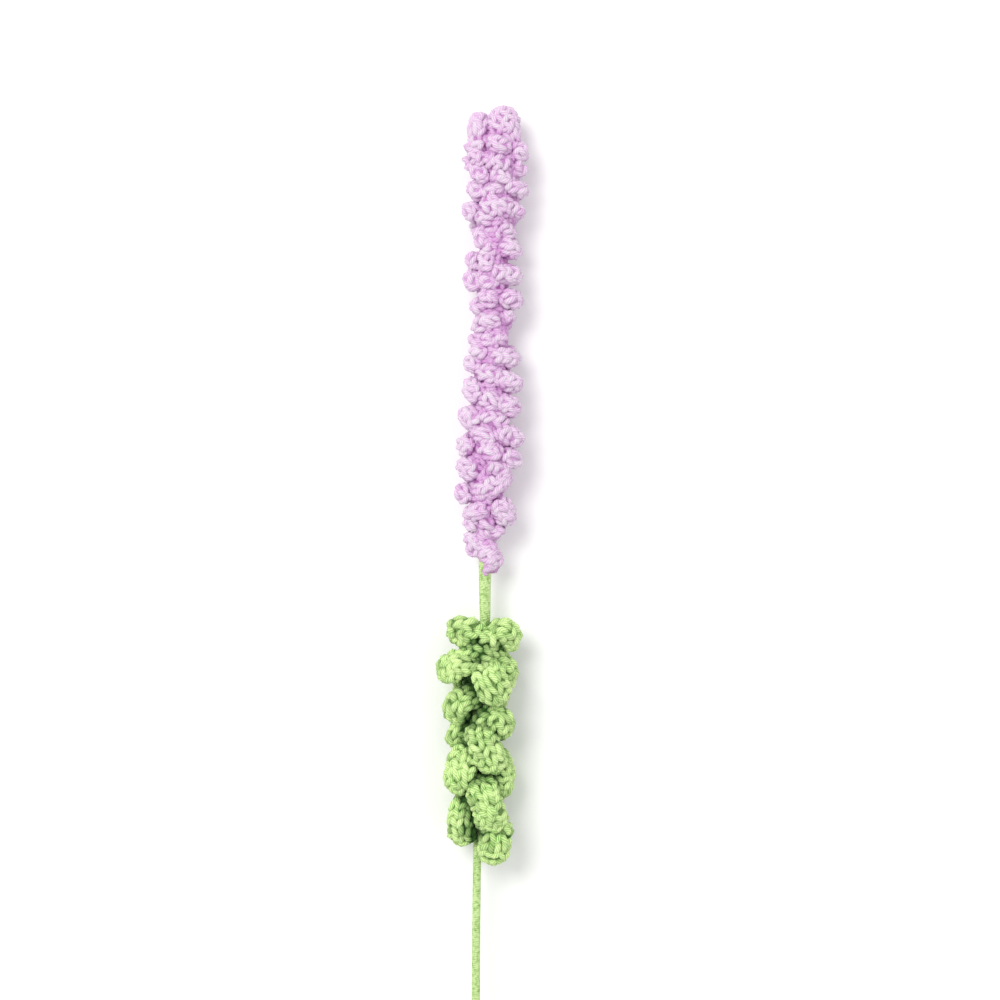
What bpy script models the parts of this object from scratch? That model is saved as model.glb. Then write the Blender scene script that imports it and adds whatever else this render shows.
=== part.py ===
"""Crocheted lavender stem, lying on its side on a flat surface.

A lavender-coloured crocheted strip is wound round the top of a wire, a green strip of crocheted
leaves is wound round its middle, and green thread covers the rest of the wire. The stem lies
along Y with the flower towards +Y. Z = 0 is the surface it rests on, where the lowest stitches
are pressed flat. Sizes are in metres.
"""

import math
import random

import bmesh
import bpy
import numpy as np
from mathutils import Matrix, Vector

MM = 0.001

# The stem's line, from the tip of the flower to the cut end: (x, y, z) in millimetres.
STEM_LINE = [
    (4.9, 196.0, 7.7),
    (5.2, 169.0, 8.1),
    (4.4, 136.0, 8.6),
    (3.4, 103.0, 9.0),
    (1.9, 70.0, 9.5),
    (1.1, 45.0, 9.9),
    (1.1, 25.0, 10.3),
    (0.1, -9.0, 10.9),
    (-1.3, -42.0, 11.4),
    (-1.8, -75.0, 11.9),
    (-2.0, -120.0, 12.4),
    (-2.2, -160.0, 12.7),
    (-2.4, -200.0, 12.8),
]
LINE_STEPS = 3
ROUND_SIDES = 8
SEAT_GAP = 0.3 * MM

# Wire and the thread wound on it, whose outline is a list of (y, radius) in millimetres.
WIRE_RADIUS = 0.7 * MM
WIRE_TOP = 184.0 * MM
WIRE_END = -200.0 * MM
WRAP_BORE_RADIUS = 0.96 * MM
WRAP_TOP = 52.0 * MM
WRAP_END = -199.0 * MM
WRAP_OUTLINE = [(52.0, 1.95), (29.0, 1.70), (10.0, 1.55), (-50.0, 1.38), (-90.0, 1.45), (-199.0, 1.50)]

# The flower's strip, wound in a spiral with four lobes to a turn.
FLOWER_TOP = 189.5 * MM
FLOWER_END = 47.0 * MM
FLOWER_NECK_RADIUS = 3.0 * MM
FLOWER_CROWN_RADIUS = 4.0 * MM
LOBES_PER_TURN = 4
# Each turn, in millimetres: (y where it passes +X, how far it stands out there, and at -X).
FLOWER_TURNS = [
    (194.7, 8.6, 9.6),
    (184.8, 10.9, 10.1),
    (172.2, 10.1, 9.6),
    (166.3, 9.1, 10.9),
    (154.1, 8.4, 6.6),
    (145.2, 8.4, 10.2),
    (136.9, 9.2, 7.9),
    (129.3, 6.8, 7.6),
    (118.8, 8.9, 7.9),
    (109.5, 9.7, 8.9),
    (101.3, 9.6, 9.6),
    (92.0, 10.6, 9.9),
    (84.1, 10.9, 10.6),
    (76.5, 7.6, 10.9),
    (67.3, 9.9, 7.2),
    (60.0, 6.2, 6.3),
    (50.2, 4.6, 4.6),
]
LOBE_DEPTH = 3.6 * MM
LOBE_HALF = (4.4 * MM, 4.6 * MM, 3.9 * MM)
LOBE_HUMPS = 0.13
LOBE_HUMP_COUNT = 4
LOBE_JITTER = 0.4 * MM
LOBE_SWING = math.radians(9.0)
BLUNTNESS = 2.6
SEED = 11

# Leaf strip: hooded leaves on a short spiral. Each leaf: y of its middle, angle round the stem in
# degrees (0 at +X, 90 up), how far it stands out, length, width and lean, with lengths in mm.
LEAF_TOP = 27.5 * MM
LEAF_END = -45.0 * MM
LEAF_CORE_RADIUS = 4.8 * MM
LEAVES = [
    (26.4, 170.0, 13.2, 10.2, 10.0, 0.0),
    (25.0, 22.0, 12.4, 11.6, 10.0, 0.0),
    (14.8, 174.0, 16.8, 13.5, 11.0, 10.0),
    (8.2, 72.0, 12.2, 14.8, 13.6, 8.0),
    (12.5, 4.0, 12.0, 12.6, 10.0, 0.0),
    (1.6, 161.0, 13.8, 12.9, 11.0, -8.0),
    (-5.6, 22.0, 12.2, 12.0, 10.0, 0.0),
    (-13.9, 83.0, 12.4, 19.0, 10.6, 27.0),
    (-8.9, 197.0, 11.6, 10.6, 9.6, 0.0),
    (-19.2, 161.0, 13.4, 16.8, 11.6, -5.0),
    (-22.5, 352.0, 12.2, 14.4, 10.0, 0.0),
    (-31.7, 80.0, 12.8, 21.0, 11.0, 22.0),
    (-37.0, 172.0, 11.0, 15.0, 10.0, 0.0),
    (-46.0, 46.0, 11.2, 9.6, 10.0, 20.0),
    (-34.4, 338.0, 10.4, 12.4, 9.6, 0.0),
    (18.8, 272.0, 12.4, 12.4, 11.0, 6.0),
    (6.2, 234.0, 13.6, 13.0, 11.0, -8.0),
    (2.4, 306.0, 13.4, 13.0, 11.0, 9.0),
    (-8.6, 270.0, 12.6, 13.4, 11.0, -6.0),
    (-20.4, 232.0, 13.4, 14.0, 11.0, 7.0),
    (-18.2, 304.0, 13.2, 14.0, 11.0, -9.0),
    (-31.0, 268.0, 12.8, 14.4, 11.0, 5.0),
    (-39.6, 236.0, 12.2, 11.2, 10.0, -6.0),
]
LEAF_ROOT = 2.8 * MM
LEAF_HUMPS = 0.1
LEAF_ROW_TURNS = 8.0
LEAF_ROW_SHIFT = math.pi
LEAF_HOLLOW = 0.4
HOLLOW_FACING = (-0.72, -0.69)

# The surface that the stem lies on, as a block below z = 0.
SURFACE_SIZE = (0.1, 0.5, 0.02)
SHARP_ANGLE = math.radians(50.0)


def clear_scene():
    for obj in list(bpy.data.objects):
        bpy.data.objects.remove(obj)


def new_collection(name):
    collection = bpy.data.collections.new(name)
    bpy.context.scene.collection.children.link(collection)
    return collection


def make_material(name, colour, roughness, metallic=0.0):
    material = bpy.data.materials.new(name)
    material.use_nodes = True
    shader = material.node_tree.nodes["Principled BSDF"]
    shader.inputs["Base Color"].default_value = (*colour, 1.0)
    shader.inputs["Roughness"].default_value = roughness
    shader.inputs["Metallic"].default_value = metallic
    return material


def smooth_line(points, steps):
    """A Catmull-Rom curve through the points, in metres, from the tip down."""
    knots = np.array(points) * MM
    padded = np.vstack([2 * knots[0] - knots[1], knots, 2 * knots[-1] - knots[-2]])
    out = []
    for i in range(len(knots) - 1):
        a, b, c, d = padded[i : i + 4]
        for t in np.arange(steps) / steps:
            out.append(0.5 * (2 * b + (c - a) * t + (2 * a - 5 * b + 4 * c - d) * t**2
                              + (3 * b - a - 3 * c + d) * t**3))
    out.append(knots[-1])
    return np.array(out)


LINE = smooth_line(STEM_LINE, LINE_STEPS)


def stem_point(y):
    """Where the stem's line passes this y."""
    return Vector((
        float(np.interp(-y, -LINE[:, 1], LINE[:, 0])),
        y,
        float(np.interp(-y, -LINE[:, 1], LINE[:, 2])),
    ))


def outline_at(outline, y):
    """A radius read from a list of (y, radius) in millimetres."""
    ys = [-row[0] * MM for row in outline]
    return float(np.interp(-y, ys, [row[1] * MM for row in outline]))


def line_between(top, end):
    """Points of the stem's line from y = top down to y = end."""
    clear = 1.5 * MM
    inside = [y for y in LINE[:, 1] if end + clear < y < top - clear]
    return [stem_point(y) for y in [top, *inside, end]]


def radial_frame(angle):
    """Outward, round the stem and along it, at this angle round the stem."""
    outward = Vector((math.cos(angle), 0.0, math.sin(angle)))
    along = Vector((0.0, 1.0, 0.0))
    return outward, outward.cross(along), along


def tube(name, points, radii, collection):
    """A round bar along the points, made as a curve and kept as a closed mesh."""
    curve = bpy.data.curves.new(name, "CURVE")
    curve.dimensions = "3D"
    curve.bevel_depth = 1.0
    curve.bevel_resolution = (ROUND_SIDES - 4) // 2
    curve.use_fill_caps = True
    spline = curve.splines.new("POLY")
    spline.points.add(len(points) - 1)
    for place, point, radius in zip(spline.points, points, radii):
        place.co = (*point, 1.0)
        place.radius = radius
    guide = bpy.data.objects.new(name + "_guide", curve)
    collection.objects.link(guide)
    graph = bpy.context.evaluated_depsgraph_get()
    mesh = bpy.data.meshes.new_from_object(guide.evaluated_get(graph))
    bpy.data.objects.remove(guide)
    bm = bmesh.new()
    bm.from_mesh(mesh)
    bmesh.ops.remove_doubles(bm, verts=bm.verts, dist=0.00001)
    bmesh.ops.recalc_face_normals(bm, faces=bm.faces)
    bm.to_mesh(mesh)
    bm.free()
    mesh.name = name
    mesh.shade_smooth()
    obj = bpy.data.objects.new(name, mesh)
    collection.objects.link(obj)
    return obj


def blunt(x, y, z):
    """How far a unit ball's point goes out to lie on a squarer, blunter ball."""
    return (abs(x) ** BLUNTNESS + abs(y) ** BLUNTNESS + abs(z) ** BLUNTNESS) ** (-1.0 / BLUNTNESS)


def knot_mesh(name, pole, segments, rings, height):
    """A blunt unit ball with its poles on this axis, whose surface rises by height(x, y, z).

    X is for along the stem, Y for round it and Z for outward.
    """
    mesh = bpy.data.meshes.new(name)
    bm = bmesh.new()
    bmesh.ops.create_uvsphere(bm, u_segments=segments, v_segments=rings, radius=1.0)
    if pole == "X":
        bmesh.ops.rotate(bm, verts=bm.verts, matrix=Matrix.Rotation(math.pi / 2.0, 3, "Y"))
    for vert in bm.verts:
        vert.co *= blunt(*vert.co) + height(*vert.co)
    bm.to_mesh(mesh)
    bm.free()
    return mesh


def lobe_height(x, y, z):
    """Humps of yarn round the lobe's outer end."""
    crown = max(z, 0.0) * (1.0 - z * z) * 2.6
    return LOBE_HUMPS * crown * math.cos(LOBE_HUMP_COUNT * math.atan2(y, x))


def leaf_height(x, y, z):
    """Stitches in rows on both sides of the leaf's spine, and the hollow under its hood."""
    lift = math.asin(max(-1.0, min(1.0, x)))
    side = math.atan2(y, z)
    column = max(0.0, math.sin(min(1.5 * abs(side), math.pi)))
    row = math.cos(LEAF_ROW_TURNS * lift + (LEAF_ROW_SHIFT if side > 0.0 else 0.0))
    under = max(0.0, HOLLOW_FACING[0] * x + HOLLOW_FACING[1] * z)
    return LEAF_HUMPS * column * row - LEAF_HOLLOW * under ** 4


def place_knot(knot, centre, frame, half, collection):
    """A copy of the knot at centre, turned to the frame and stretched to its half sizes."""
    turn = Matrix(frame).transposed()
    mesh = knot.copy()
    mesh.transform(Matrix.Translation(centre) @ turn.to_4x4() @ Matrix.Diagonal((*half, 1.0)))
    obj = bpy.data.objects.new("knot", mesh)
    collection.objects.link(obj)


def flower_turn(turn):
    """The y of the flower's spiral after this many turns, and how far it stands out there."""
    turns = np.arange(len(FLOWER_TURNS))
    ys, rights, lefts = (np.array(column) * MM for column in zip(*FLOWER_TURNS))
    right_side = float(np.interp(turn, turns, rights))
    left_side = float(np.interp(turn, turns + 0.5, lefts))
    side = 0.5 + 0.5 * math.cos(2.0 * math.pi * turn)
    return float(np.interp(turn, turns, ys)), right_side * side + left_side * (1.0 - side)


def add_flower_lobe(knot, turn, rng, collection):
    """One lobe of the flower strip, standing on the spiral after this many turns."""
    y, reach = flower_turn(turn)
    outward, around, along = radial_frame(-2.0 * math.pi * turn + rng.uniform(-LOBE_SWING, LOBE_SWING))
    centre = stem_point(y + rng.uniform(-LOBE_JITTER, LOBE_JITTER)) + outward * (reach - LOBE_HALF[2])
    roll = rng.uniform(0.0, 2.0 * math.pi)
    first = along * math.cos(roll) + around * math.sin(roll)
    place_knot(knot, centre, (first, outward.cross(first), outward), LOBE_HALF, collection)


def add_leaf(knot, leaf, collection):
    """One hooded leaf, seated on the stem and drooping towards the cut end."""
    y, angle, reach, length, width, lean = leaf
    outward, around, along = radial_frame(math.radians(angle))
    spine = along * math.cos(math.radians(lean)) + around * math.sin(math.radians(lean))
    out = (reach * MM - LEAF_ROOT) / 2.0
    centre = stem_point(y * MM) + outward * (LEAF_ROOT + out)
    half = (length * MM / 2.0, width * MM / 2.0, out)
    place_knot(knot, centre, (spine, outward.cross(spine), outward), half, collection)


def join_collection(obj, collection):
    """Fuses everything in the collection into obj, then removes it."""
    bpy.context.view_layer.objects.active = obj
    modifier = obj.modifiers.new("join", "BOOLEAN")
    modifier.operation = "UNION"
    modifier.operand_type = "COLLECTION"
    modifier.collection = collection
    modifier.solver = "MANIFOLD"
    bpy.ops.object.modifier_apply(modifier=modifier.name)
    for extra in list(collection.objects):
        bpy.data.objects.remove(extra)


def cut(obj, *cutters):
    """Cuts each cutter's shape out of obj."""
    bpy.context.view_layer.objects.active = obj
    for cutter in cutters:
        cutter.hide_render = True
        cutter.display_type = "WIRE"
        modifier = obj.modifiers.new("cut_" + cutter.name, "BOOLEAN")
        modifier.operation = "DIFFERENCE"
        modifier.object = cutter
        modifier.solver = "MANIFOLD"
        bpy.ops.object.modifier_apply(modifier=modifier.name)


def keep_largest_shell(mesh):
    """Fills the pockets that knots close between them, drops loose scraps and smooths the rest."""
    bm = bmesh.new()
    bm.from_mesh(mesh)
    unseen, shells = set(bm.verts), []
    while unseen:
        shell, front = set(), {unseen.pop()}
        while front:
            shell |= front
            front = {edge.other_vert(vert) for vert in front for edge in vert.link_edges} - shell
        unseen -= shell
        shells.append(shell)
    largest = max(shells, key=len)
    bmesh.ops.delete(bm, geom=[vert for vert in bm.verts if vert not in largest], context="VERTS")
    bm.to_mesh(mesh)
    bm.free()
    mesh.shade_smooth()
    mesh.set_sharp_from_angle(angle=SHARP_ANGLE)


def flower_core(parts):
    """The strip's inner edge, wound close to the wire, which the lobes stand on."""
    last = len(FLOWER_TURNS) - 1
    line = [stem_point(FLOWER_TOP), stem_point(FLOWER_TOP - LOBE_DEPTH)]
    radii = [FLOWER_CROWN_RADIUS, FLOWER_TURNS[0][1] * MM - LOBE_DEPTH]
    for i in range(2, 2 * last + 1):
        y, reach = flower_turn(0.5 * i)
        _, across = flower_turn(0.5 * i + 0.5)
        line.append(stem_point(y))
        radii.append(max(0.5 * (reach + across) - LOBE_DEPTH, FLOWER_NECK_RADIUS))
    line.append(stem_point(FLOWER_END))
    radii.append(FLOWER_NECK_RADIUS)
    return tube("flower_strip", line, radii, parts)


def make_flower(parts, knots, cutters, surface):
    flower = flower_core(parts)
    lobe = knot_mesh("lobe", "Z", 8, 5, lobe_height)
    rng = random.Random(SEED)
    for k in range(LOBES_PER_TURN * (len(FLOWER_TURNS) - 1) + 1):
        add_flower_lobe(lobe, k / LOBES_PER_TURN, rng, knots)
    join_collection(flower, knots)

    below = FLOWER_END - 10.0 * MM
    wire_line = line_between(WIRE_TOP + SEAT_GAP, below)
    wire_bore = tube("flower_bore_cutter", wire_line, [WIRE_RADIUS + SEAT_GAP] * len(wire_line), cutters)
    wrap_line = line_between(WRAP_TOP + SEAT_GAP, below - 2.0 * MM)
    wrap_radii = [outline_at(WRAP_OUTLINE, point.y) + SEAT_GAP for point in wrap_line]
    socket = tube("flower_socket_cutter", wrap_line, wrap_radii, cutters)
    cut(flower, wire_bore, socket, surface)
    keep_largest_shell(flower.data)
    return flower


def make_leaves(parts, knots, cutters, surface):
    core_line = line_between(LEAF_TOP, LEAF_END)
    leaves = tube("leaf_strip", core_line, [LEAF_CORE_RADIUS] * len(core_line), parts)
    hood = knot_mesh("leaf", "X", 12, 8, leaf_height)
    for leaf in LEAVES:
        add_leaf(hood, leaf, knots)
    join_collection(leaves, knots)

    beyond = 12.0 * MM
    line = line_between(LEAF_TOP + beyond, LEAF_END - beyond)
    radii = [outline_at(WRAP_OUTLINE, point.y) + SEAT_GAP for point in line]
    cut(leaves, tube("leaf_bore_cutter", line, radii, cutters), surface)
    keep_largest_shell(leaves.data)
    return leaves


def make_wire(parts):
    line = line_between(WIRE_TOP, WIRE_END)
    return tube("stem_wire", line, [WIRE_RADIUS] * len(line), parts)


def make_wrap(parts, cutters):
    line = line_between(WRAP_TOP, WRAP_END)
    wrap = tube("stem_wrap", line, [outline_at(WRAP_OUTLINE, point.y) for point in line], parts)
    bore_line = line_between(WRAP_TOP + 5.0 * MM, WIRE_END)
    cut(wrap, tube("wire_bore_cutter", bore_line, [WRAP_BORE_RADIUS] * len(bore_line), cutters))
    return wrap


def make_surface_cutter(cutters):
    """The surface as a block, which presses the lowest stitches flat."""
    middle = (0.0, 0.0, -0.5 * SURFACE_SIZE[2])
    bpy.ops.mesh.primitive_cube_add(size=1.0, location=middle, scale=SURFACE_SIZE)
    block = bpy.context.object
    block.name = "surface_cutter"
    for collection in list(block.users_collection):
        collection.objects.unlink(block)
    cutters.objects.link(block)
    return block


def main():
    clear_scene()
    parts = new_collection("crocheted_lavender_stem")
    knots = new_collection("knots")
    cutters = new_collection("cutters")
    surface = make_surface_cutter(cutters)
    finishes = (
        (make_wire(parts), make_material("steel_wire", (0.55, 0.55, 0.56), 0.35, 1.0)),
        (make_wrap(parts, cutters), make_material("green_wrapping_thread", (0.56, 0.80, 0.32), 0.75)),
        (make_flower(parts, knots, cutters, surface),
         make_material("lavender_yarn", (0.80, 0.56, 0.78), 0.85)),
        (make_leaves(parts, knots, cutters, surface),
         make_material("green_yarn", (0.50, 0.78, 0.26), 0.85)),
    )
    for obj, material in finishes:
        obj.data.materials.clear()
        obj.data.materials.append(material)
    bpy.data.collections.remove(knots)


main()
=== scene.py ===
"""A crocheted lavender stem, dressed in real yarn and seen from straight above.

Every lobe and leaf is a soft form covered in stitches: short runs of plied cotton that lie on it
in rows, leaning left and right by turns, and sink into it at both ends. Fine thread is wound on
the wire. Sizes are in metres, and the stem lies along Y on z = 0.
"""

import math
import random
from typing import NamedTuple

import bmesh
import bpy
import numpy as np
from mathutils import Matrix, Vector


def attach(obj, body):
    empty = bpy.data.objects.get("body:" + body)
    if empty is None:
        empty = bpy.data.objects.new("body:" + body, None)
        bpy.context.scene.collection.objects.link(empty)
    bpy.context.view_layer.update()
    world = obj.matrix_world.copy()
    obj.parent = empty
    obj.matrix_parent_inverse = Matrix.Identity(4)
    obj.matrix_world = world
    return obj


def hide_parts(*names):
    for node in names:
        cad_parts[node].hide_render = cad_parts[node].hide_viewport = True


MM = 0.001
TURN = 2.0 * math.pi
ALONG = np.array([0.0, 1.0, 0.0])
UP = np.array([0.0, 0.0, 1.0])

# The stem's line, from the tip of the flower to the cut end: (x, y, z) in millimetres.
STEM_LINE = [
    (4.9, 196.0, 7.7),
    (5.2, 169.0, 8.1),
    (4.4, 136.0, 8.6),
    (3.4, 103.0, 9.0),
    (1.9, 70.0, 9.5),
    (1.1, 45.0, 9.9),
    (1.1, 25.0, 10.3),
    (0.1, -9.0, 10.9),
    (-1.3, -42.0, 11.4),
    (-1.8, -75.0, 11.9),
    (-2.0, -120.0, 12.4),
    (-2.2, -160.0, 12.7),
    (-2.4, -200.0, 12.8),
]

# The thread wound on the wire: its outline is a list of (y, radius) in millimetres.
WRAP_OUTLINE = [
    (52.0, 2.25),
    (45.0, 2.10),
    (31.0, 1.82),
    (10.0, 1.62),
    (-50.0, 1.42),
    (-90.0, 1.46),
    (-199.0, 1.52),
]
WRAP_PITCH = 0.72 * MM
WRAP_STEPS = 14
THREAD_RADIUS = 0.62 * MM
# Painted shade given to the thread: below nothing, it takes back part of the painted shade far in.
THREAD_SHADE = -0.3
THREAD_PLIES = 4
THREAD_SIDES = 8

# Yarn: its plies lie round each other, and each goes once round in PLY_TURN.
YARN_PLIES = 6
YARN_SIDES = 10
PLY_TURN = 5.8 * MM


class Stitching(NamedTuple):
    """How strands lie on a form."""

    strand: float  # radius of a strand
    column: float  # spacing round the form
    row: float  # spacing along it
    half: float  # how far a strand shows on both sides of its middle
    top: float  # how high its line runs
    sink: float  # how far its ends sink in
    end_shade: float  # painted shade at its ends, where they sink in
    lean: float  # its lean, to the left and right by turns
    loose: float  # how far that lean strays


FLOWER_STITCHING = Stitching(
    strand=1.02 * MM, column=1.85 * MM, row=1.95 * MM, half=1.80 * MM, top=0.28 * MM,
    sink=0.82 * MM, end_shade=0.32, lean=math.radians(38.0), loose=math.radians(20.0),
)
LEAF_STITCHING = Stitching(
    strand=1.04 * MM, column=1.95 * MM, row=2.25 * MM, half=2.00 * MM, top=0.40 * MM,
    sink=1.30 * MM, end_shade=1.05, lean=math.radians(33.0), loose=math.radians(22.0),
)
STITCH_STEPS = 6
STITCH_TAPER = 0.28
STITCH_BEND = 2.2
# A strand shows over no more than this part of the form's girth on each side of its middle.
STITCH_GIRTH = 0.24
FIRST_ROW = 1.5 * MM
LAST_ROW = 0.8 * MM
FEWEST_IN_ROW = 4
CORE_LEAN = math.radians(60.0)
ROUND_END_LEAN = math.radians(80.0)
PIECE_STRANDS = 1400

# How far strands stray, as the spread of a random draw: the length and radius as parts of their
# own, the place as a part of the spacing, and the shift of each row in strands.
LENGTH_STRAY = 0.08
RADIUS_STRAY = 0.06
BOW_STRAY = 0.25 * MM
HEIGHT_STRAY = 0.14 * MM
DARK_STRAY = 0.10
SHIFT_STRAY = 0.3
COLUMN_STRAY = 0.1
ROW_STRAY = 0.12

# A form's mesh: points round it, rings on each rounded end and the space between the others.
ROUND = 24
END_RINGS = 6
RING_SPACING = 1.2 * MM
# How much of a short form its rounded tip and root may take up.
TIP_PART = 0.6
ROOT_PART = 0.3
# A strand is hidden where its middle is this deep in another form and this near one of its rings.
HIDDEN_DEPTH = 0.5 * MM
HIDDEN_REACH = 1.5 * MM
# Sizes that are divided by are at least this.
LEAST_WIDTH = 0.1 * MM
LEAST_SIDE = 0.2 * MM
# The yarn's turns round a form that shows between the strands, the painted shade that darkens that
# form, and the painted shade on the strands' end caps, which sink into the forms.
FILL_TURNS = 3.0
FILL_SHADE = 0.55
CAP_SHADE = 0.5

# How far the forms lie under the tops of the strands that cover them.
FLOWER_SKIN = 1.35 * MM
LEAF_SKIN = 1.45 * MM

# Flower: each turn of its strip in millimetres, as (y where it passes +X, how far it stands out
# there, and at -X half a turn later).
FLOWER_TURNS = [
    (194.7, 8.6, 9.6),
    (184.8, 10.9, 10.1),
    (172.2, 10.1, 9.6),
    (166.3, 9.1, 10.9),
    (154.1, 8.4, 6.6),
    (145.2, 8.4, 10.2),
    (136.9, 9.2, 7.9),
    (129.3, 6.8, 7.6),
    (118.8, 8.9, 7.9),
    (109.5, 9.7, 8.9),
    (101.3, 9.6, 9.6),
    (92.0, 10.6, 9.9),
    (84.1, 10.9, 10.6),
    (76.5, 7.6, 10.9),
    (67.3, 9.9, 7.2),
    (60.0, 6.2, 6.3),
    (50.2, 4.6, 4.6),
]
# How far the flower stands out to the left and right between its lobes, in millimetres:
# (y, left, right).
FLOWER_WAIST = [
    (191.0, 7.6, 7.6),
    (185.0, 7.9, 8.0),
    (176.0, 7.4, 8.0),
    (168.0, 8.4, 7.8),
    (161.0, 7.5, 6.2),
    (152.0, 6.2, 4.6),
    (146.0, 7.6, 4.8),
    (137.0, 6.5, 5.3),
    (128.0, 6.0, 5.2),
    (118.0, 6.5, 5.8),
    (110.0, 7.0, 6.8),
    (101.0, 7.7, 6.5),
    (96.0, 7.3, 5.0),
    (88.0, 7.4, 7.2),
    (80.0, 8.0, 6.2),
    (73.0, 7.8, 6.2),
    (66.0, 5.3, 5.6),
    (58.0, 5.2, 3.9),
    (53.0, 4.4, 3.4),
    (46.0, 3.3, 3.3),
]
# The core lies this far inside the waist at its sides, and inside the lobes above and below.
WAIST_SKIN = 1.9 * MM
CORE_DEPTH = 3.5 * MM
CORE_THINNEST = 3.4 * MM
CORE_ROOT = 3.0 * MM
# The core starts on this turn of the spiral, ends this far past its last one, and has a point of
# its line at each step.
CORE_START = 0.4
CORE_PAST = 0.3
CORE_STEP = 0.1

# The lobes on the far side: half length, half width, half depth, how far their line rounds off at
# its ends, and the slant of it. The near ones have the same half depth and points of their line.
LOBE_POINTS = 9
LOBE_HALF = 3.0 * MM
LOBE_WIDE = 2.3 * MM
LOBE_THICK = 2.6 * MM
LOBE_ROUND = 0.9 * MM
LOBE_SLANT = math.radians(30.0)
# A lobe on the far side that stands out less than this is smaller in proportion.
FULL_REACH = 9.0 * MM
# How far these lobes stray from the sizes above, as parts of them, and from their slant and their
# place on the spiral.
LOBE_SIZE_STRAY = 0.08
LOBE_THICK_STRAY = 0.06
LOBE_SLANT_STRAY = math.radians(12.0)
LOBE_ANGLE_STRAY = math.radians(6.0)
LOBE_PLACE_STRAY = 0.3 * MM
# Where they stand on each turn, in turns from +X.
FAR_LOBES = (0.11, 0.25, 0.39)
# A near lobe bends over a round that is at least this much wider than it reaches.
LOBE_CLEAR = 0.5 * MM
# The lobes seen from above, in millimetres: x and y of the middle, half length, half width, and
# the slant of their length in degrees, positive where it drops towards +X.
NEAR_LOBES = [
    (-0.6, 186.4, 3.9, 2.4, -20), (5.7, 186.6, 4.7, 3.5, 22), (11.9, 184.5, 4.2, 3.9, 80),
    (-0.2, 182.4, 3.9, 3.4, 35), (4.8, 181.0, 4.9, 3.5, 22), (-3.0, 180.9, 3.1, 2.2, 85),
    (11.8, 178.9, 3.2, 2.9, 60), (0.1, 177.2, 4.2, 3.4, 50), (6.4, 176.1, 4.5, 3.4, 18),
    (10.7, 172.6, 4.6, 3.2, 15), (-1.1, 171.6, 3.7, 3.4, 50), (4.1, 171.8, 4.2, 3.0, -25),
    (5.1, 166.9, 5.7, 4.4, 12), (-2.9, 165.1, 3.9, 3.1, 80), (10.9, 165.0, 3.2, 3.1, 20),
    (1.8, 162.6, 4.0, 2.9, 30), (0.6, 156.4, 4.4, 3.2, 80), (7.7, 158.7, 3.9, 3.1, 50),
    (8.9, 152.8, 4.4, 3.7, 25), (3.1, 152.4, 3.7, 3.0, 70), (-1.9, 148.6, 3.9, 2.4, 85),
    (2.1, 148.1, 4.7, 3.2, 85), (7.6, 144.2, 5.5, 3.6, 8), (-2.7, 142.0, 3.9, 3.1, 60),
    (2.1, 141.6, 3.7, 3.4, 30), (9.3, 136.3, 4.2, 3.9, 25), (2.8, 136.3, 4.0, 3.7, 50),
    (-0.5, 133.4, 3.6, 3.1, 70), (2.5, 129.1, 5.2, 3.7, -8), (8.1, 129.7, 3.7, 2.4, 80),
    (0.1, 126.8, 2.9, 2.4, 30), (-1.1, 122.2, 3.2, 2.7, 60), (2.5, 122.5, 3.4, 2.9, 20),
    (5.7, 122.8, 3.2, 2.9, 20), (-0.2, 118.6, 3.5, 3.2, 30), (7.0, 116.9, 5.5, 3.6, 8),
    (-2.3, 114.6, 3.7, 3.2, 60), (2.8, 111.3, 4.5, 4.0, 20), (8.2, 109.0, 5.4, 3.7, 15),
    (-2.3, 105.7, 4.7, 4.2, 60), (3.1, 102.4, 4.4, 4.2, 45), (8.3, 101.1, 4.6, 4.1, 20),
    (-3.2, 96.5, 4.6, 4.2, 40), (4.1, 95.9, 5.0, 3.9, 15), (8.3, 91.3, 5.4, 3.9, 20),
    (1.1, 90.9, 4.5, 3.7, 25), (-4.7, 87.3, 4.2, 3.4, 70), (3.1, 86.0, 4.7, 3.7, 10),
    (9.3, 83.7, 3.9, 3.7, 30), (-3.9, 80.1, 4.6, 4.2, 60), (5.1, 80.4, 4.4, 3.4, 10),
    (3.7, 74.8, 6.9, 4.1, -33), (7.1, 77.1, 2.9, 2.6, 40), (-5.6, 71.9, 3.9, 3.2, 70),
    (7.1, 66.3, 5.5, 4.4, 60), (-1.2, 66.0, 4.6, 3.6, -20), (-2.5, 62.0, 3.4, 3.1, 60),
    (1.8, 62.0, 3.4, 2.7, 20), (4.5, 60.0, 4.6, 2.1, -20), (-2.3, 55.4, 4.9, 2.6, 83),
    (2.8, 51.5, 5.5, 4.1, 60), (4.7, 47.9, 2.6, 2.4, 30), (2.1, 46.6, 2.5, 2.2, 0),
]
# The lobes that close the flower's tip, in millimetres: the line from root to tip, half width and
# half depth.
END_LOBES = [
    ([(-0.4, 183.0, 8.0), (-1.2, 189.5, 9.2), (-0.8, 197.4, 8.4)], 2.4, 2.8),
    ([(7.2, 182.0, 9.4), (7.4, 190.5, 10.0), (6.8, 199.2, 8.8)], 4.5, 3.2),
    ([(0.8, 182.0, 5.6), (0.4, 189.0, 4.9), (0.6, 195.6, 4.8)], 2.4, 2.2),
    ([(6.8, 184.0, 5.6), (7.2, 190.0, 4.9), (6.6, 197.2, 4.8)], 2.8, 2.2),
]
FLOWER_SEED = 11

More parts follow.
